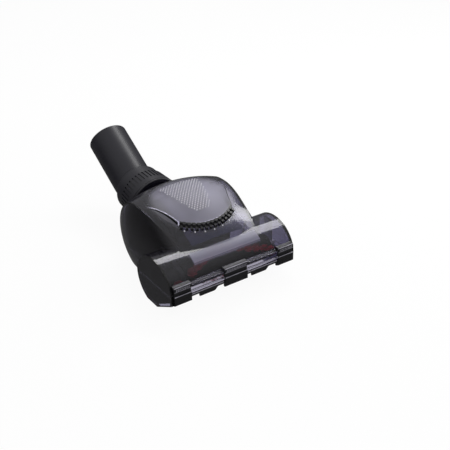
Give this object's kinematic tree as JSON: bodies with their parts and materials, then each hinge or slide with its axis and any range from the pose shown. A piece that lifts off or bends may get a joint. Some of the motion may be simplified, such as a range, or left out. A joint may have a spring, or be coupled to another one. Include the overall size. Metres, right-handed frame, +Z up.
{
  "type": "vacuum turbo brush",
  "caption": "Small air-driven turbo brush head with a smoked clear housing, a bristled roller, a belt-linked turbine, and a tilting, swivelling round neck tube.",
  "frame": {"origin": "middle of the flat sole below the crest of the turbine housing, 60.4 mm behind the roller axis", "axes": "+Z up from the floor, +X to the right seen from the front, -Y is the front; the roller, turbine and tilt axes all lie along X"},
  "size_m": [0.132, 0.2467, 0.0892],
  "materials": {
    "smoke_clear": "clear smoked, moulded gloss",
    "frost_clear": "clear, moulded gloss",
    "black_abs": "black, moulded satin",
    "satin_black": "black, fine satin",
    "grey_abs": "dark grey, moulded",
    "belt_rubber": "black rubber",
    "steel": "bright steel",
    "bronze": "sintered bronze",
    "white_acetal": "natural acetal",
    "red_bristle": "red nylon bristle"
  },
  "bodies": {
    "housing": {"upper_housing": "smoke_clear", "lower_housing": "smoke_clear", "vent_grille": "black_abs", "visor_skirt_left": "black_abs", "visor_skirt_right": "black_abs", "front_bumper": "frost_clear", "tooth_strip": "black_abs", "front_lug_left": "black_abs", "front_lug_centre": "black_abs", "front_lug_right": "black_abs", "chamber_wall_left": "grey_abs", "chamber_wall_right": "grey_abs", "air_guide": "grey_abs", "belt_cover": "black_abs", "drive_belt": "belt_rubber", "turbine_bush_left": "bronze", "turbine_bush_right": "bronze", "roller_bush_left": "white_acetal", "roller_bush_right": "white_acetal", "roller_end_cap": "black_abs", "housing_screws": "steel"},
    "roller": {"roller_core": "black_abs", "roller_bristles": "red_bristle", "roller_pulley": "black_abs", "roller_pin_left": "steel", "roller_pin_right": "steel"},
    "turbine": {"turbine_rotor": "grey_abs", "turbine_shaft": "steel", "turbine_pulley": "black_abs"},
    "neck_base": {"neck_socket": "satin_black", "swivel_collar": "satin_black", "neck_seal": "belt_rubber"},
    "neck_elbow": {"neck_tube": "satin_black", "elbow_ring": "satin_black"}
  },
  "joints": [
    {"name": "roller_spin", "type": "hinge", "parent": "housing", "child": "roller", "pos_m": [0, -0.0604, 0.0189], "axis": [1, 0, 0], "continuous": true},
    {"name": "turbine_spin", "type": "hinge", "parent": "housing", "child": "turbine", "pos_m": [0, -0.0198, 0.0377], "axis": [1, 0, 0], "continuous": true},
    {"name": "neck_tilt", "type": "hinge", "parent": "housing", "child": "neck_base", "pos_m": [0, 0.0194, 0.031], "axis": [1, 0, 0], "range_deg": [-6, 30]},
    {"name": "neck_swivel", "type": "hinge", "parent": "neck_base", "child": "neck_elbow", "pos_m": [0, 0.04614, 0.03395], "axis": [0, 0.994, 0.1097], "continuous": true}
  ],
  "couplings": [
    {"joint": "roller_spin", "follows": "turbine_spin", "ratio": 0.5}
  ]
}
